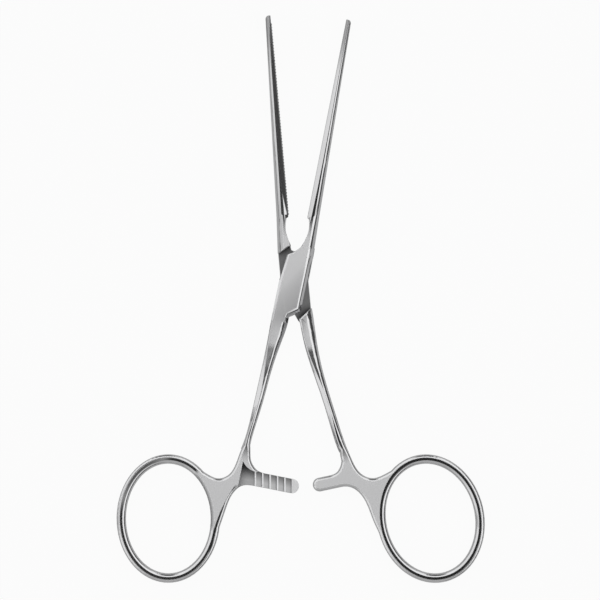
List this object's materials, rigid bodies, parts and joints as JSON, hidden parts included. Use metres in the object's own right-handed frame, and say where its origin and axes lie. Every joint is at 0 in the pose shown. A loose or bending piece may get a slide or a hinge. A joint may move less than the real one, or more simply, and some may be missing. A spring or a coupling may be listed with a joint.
{
  "type": "straight ring-handled vascular clamp",
  "caption": "Straight vascular clamp with finger rings, a box lock turning on a riveted pin, a ratchet, and slender tapered jaws, shown open.",
  "frame": {"origin": "on the pin's axis at the rear face of the box", "axes": "+Z from the rear face to the front, +Y towards the jaw tips, +X to the right as seen from the front"},
  "size_m": [0.0976, 0.1503, 0.005],
  "materials": {
    "satin_steel": "satin ground steel with polished edges"
  },
  "bodies": {
    "box_side": {"box_half": "satin_steel", "lock_pin": "satin_steel"},
    "tongue_side": {"tongue_half": "satin_steel"}
  },
  "joints": [
    {"name": "box_lock", "type": "hinge", "parent": "box_side", "child": "tongue_side", "pos_m": [0, 0, 0.0025], "axis": [0, 0, 1], "range_deg": [-16.1, 38]}
  ]
}
